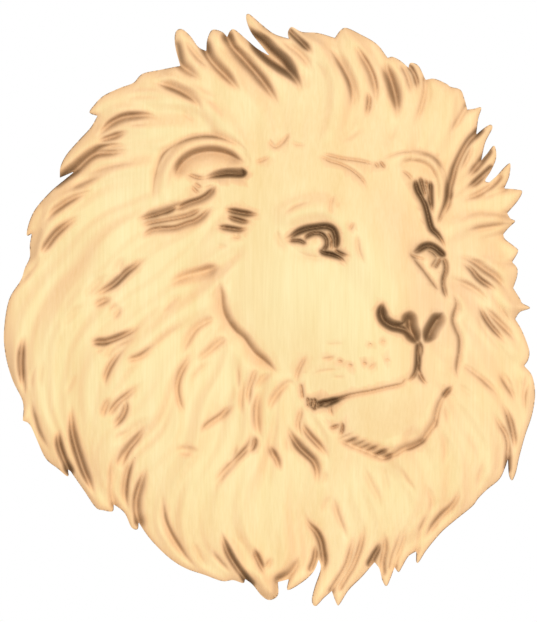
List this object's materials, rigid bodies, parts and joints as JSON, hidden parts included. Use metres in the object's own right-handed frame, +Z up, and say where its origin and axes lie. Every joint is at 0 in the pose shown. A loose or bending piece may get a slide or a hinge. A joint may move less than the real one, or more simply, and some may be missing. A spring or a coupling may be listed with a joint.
{
  "type": "lion relief plaque",
  "caption": "Carved wooden wall plaque of a lion's head in three-quarter view, cut out along the locks of its mane, with a flat back.",
  "frame": {"origin": "middle of the flat back, on the plane that rests against the wall", "axes": "+Z up, +X to the right as seen from the front, +Y into the wall, so the carving faces -Y"},
  "size_m": [0.3006, 0.0295, 0.3348],
  "materials": {
    "carved_wood": "pale close-grained wood, fine sanded and sealed matt, darker in the cuts between the locks"
  },
  "bodies": {
    "root": {"lion_relief": "carved_wood"}
  },
  "joints": []
}
